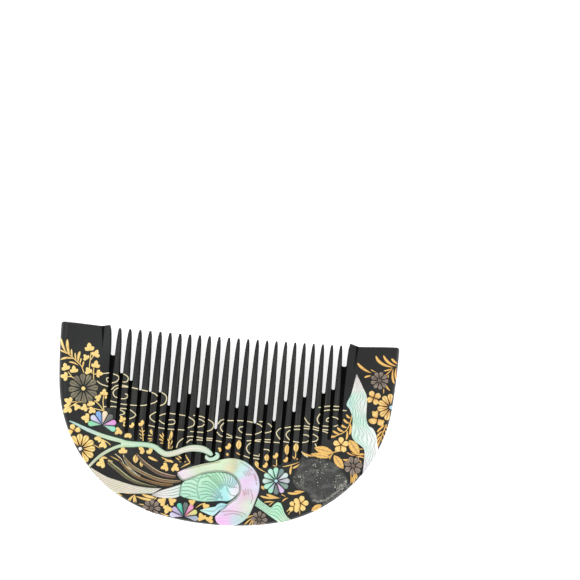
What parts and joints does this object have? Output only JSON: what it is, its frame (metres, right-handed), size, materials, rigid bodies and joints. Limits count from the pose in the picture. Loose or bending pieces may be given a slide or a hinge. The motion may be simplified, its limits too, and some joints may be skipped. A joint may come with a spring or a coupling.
{
  "type": "kushi comb",
  "caption": "Half-moon hair comb of black lacquered wood with fine straight teeth, set with a crane, ribbon, waterfall and flowers in carved shell, lead and gold lacquer.",
  "frame": {"origin": "centre of the footprint, on the surface that the comb lies on", "axes": "+X along the comb's width, +Y from the spine to the tooth tips, +Z out of the decorated face"},
  "size_m": [0.098, 0.055, 0.0078],
  "materials": {
    "lacquer": "black lacquer over wood, worn and softly glossy",
    "shell_cream": "carved cream mother of pearl",
    "shell_mint": "carved pale green mother of pearl",
    "shell_water": "carved white mother of pearl",
    "shell_brown": "brown shell",
    "shell_olive": "olive shell",
    "abalone": "iridescent abalone shell",
    "lead": "tarnished silver and lead",
    "gold": "raised gold lacquer, burnished"
  },
  "bodies": {
    "root": {"comb_body": "lacquer", "crane_back": "shell_cream", "crane_primaries": "shell_cream", "tail_band": "shell_cream", "crane_wing": "shell_mint", "crane_leg": "shell_mint", "crane_bill": "shell_mint", "ribbon": "shell_mint", "ribbon_knot": "shell_mint", "waterfall": "shell_water", "tail_plume_1": "shell_brown", "tail_plume_2": "shell_brown", "tail_plume_3": "shell_brown", "tail_plume_4": "shell_olive", "shell_flower_left": "abalone", "shell_flower_right": "abalone", "shell_flower_low": "abalone", "shell_flower_heart": "abalone", "mum_pearl_left": "abalone", "mum_pearl_right": "abalone", "lead_flower_left": "lead", "lead_flower_top": "lead", "lead_flower_right": "lead", "lead_flower_low_left": "lead", "lead_flower_low_right": "lead", "lead_flower_heart": "gold", "gold_mum_left": "gold", "gold_mum_right": "gold", "gold_blossom_rim": "gold", "gold_blossom_top": "gold", "gold_blossom_mid": "gold", "gold_blossom_right": "gold", "gold_blossom_low": "gold", "gold_leaves": "gold"}
  },
  "joints": []
}
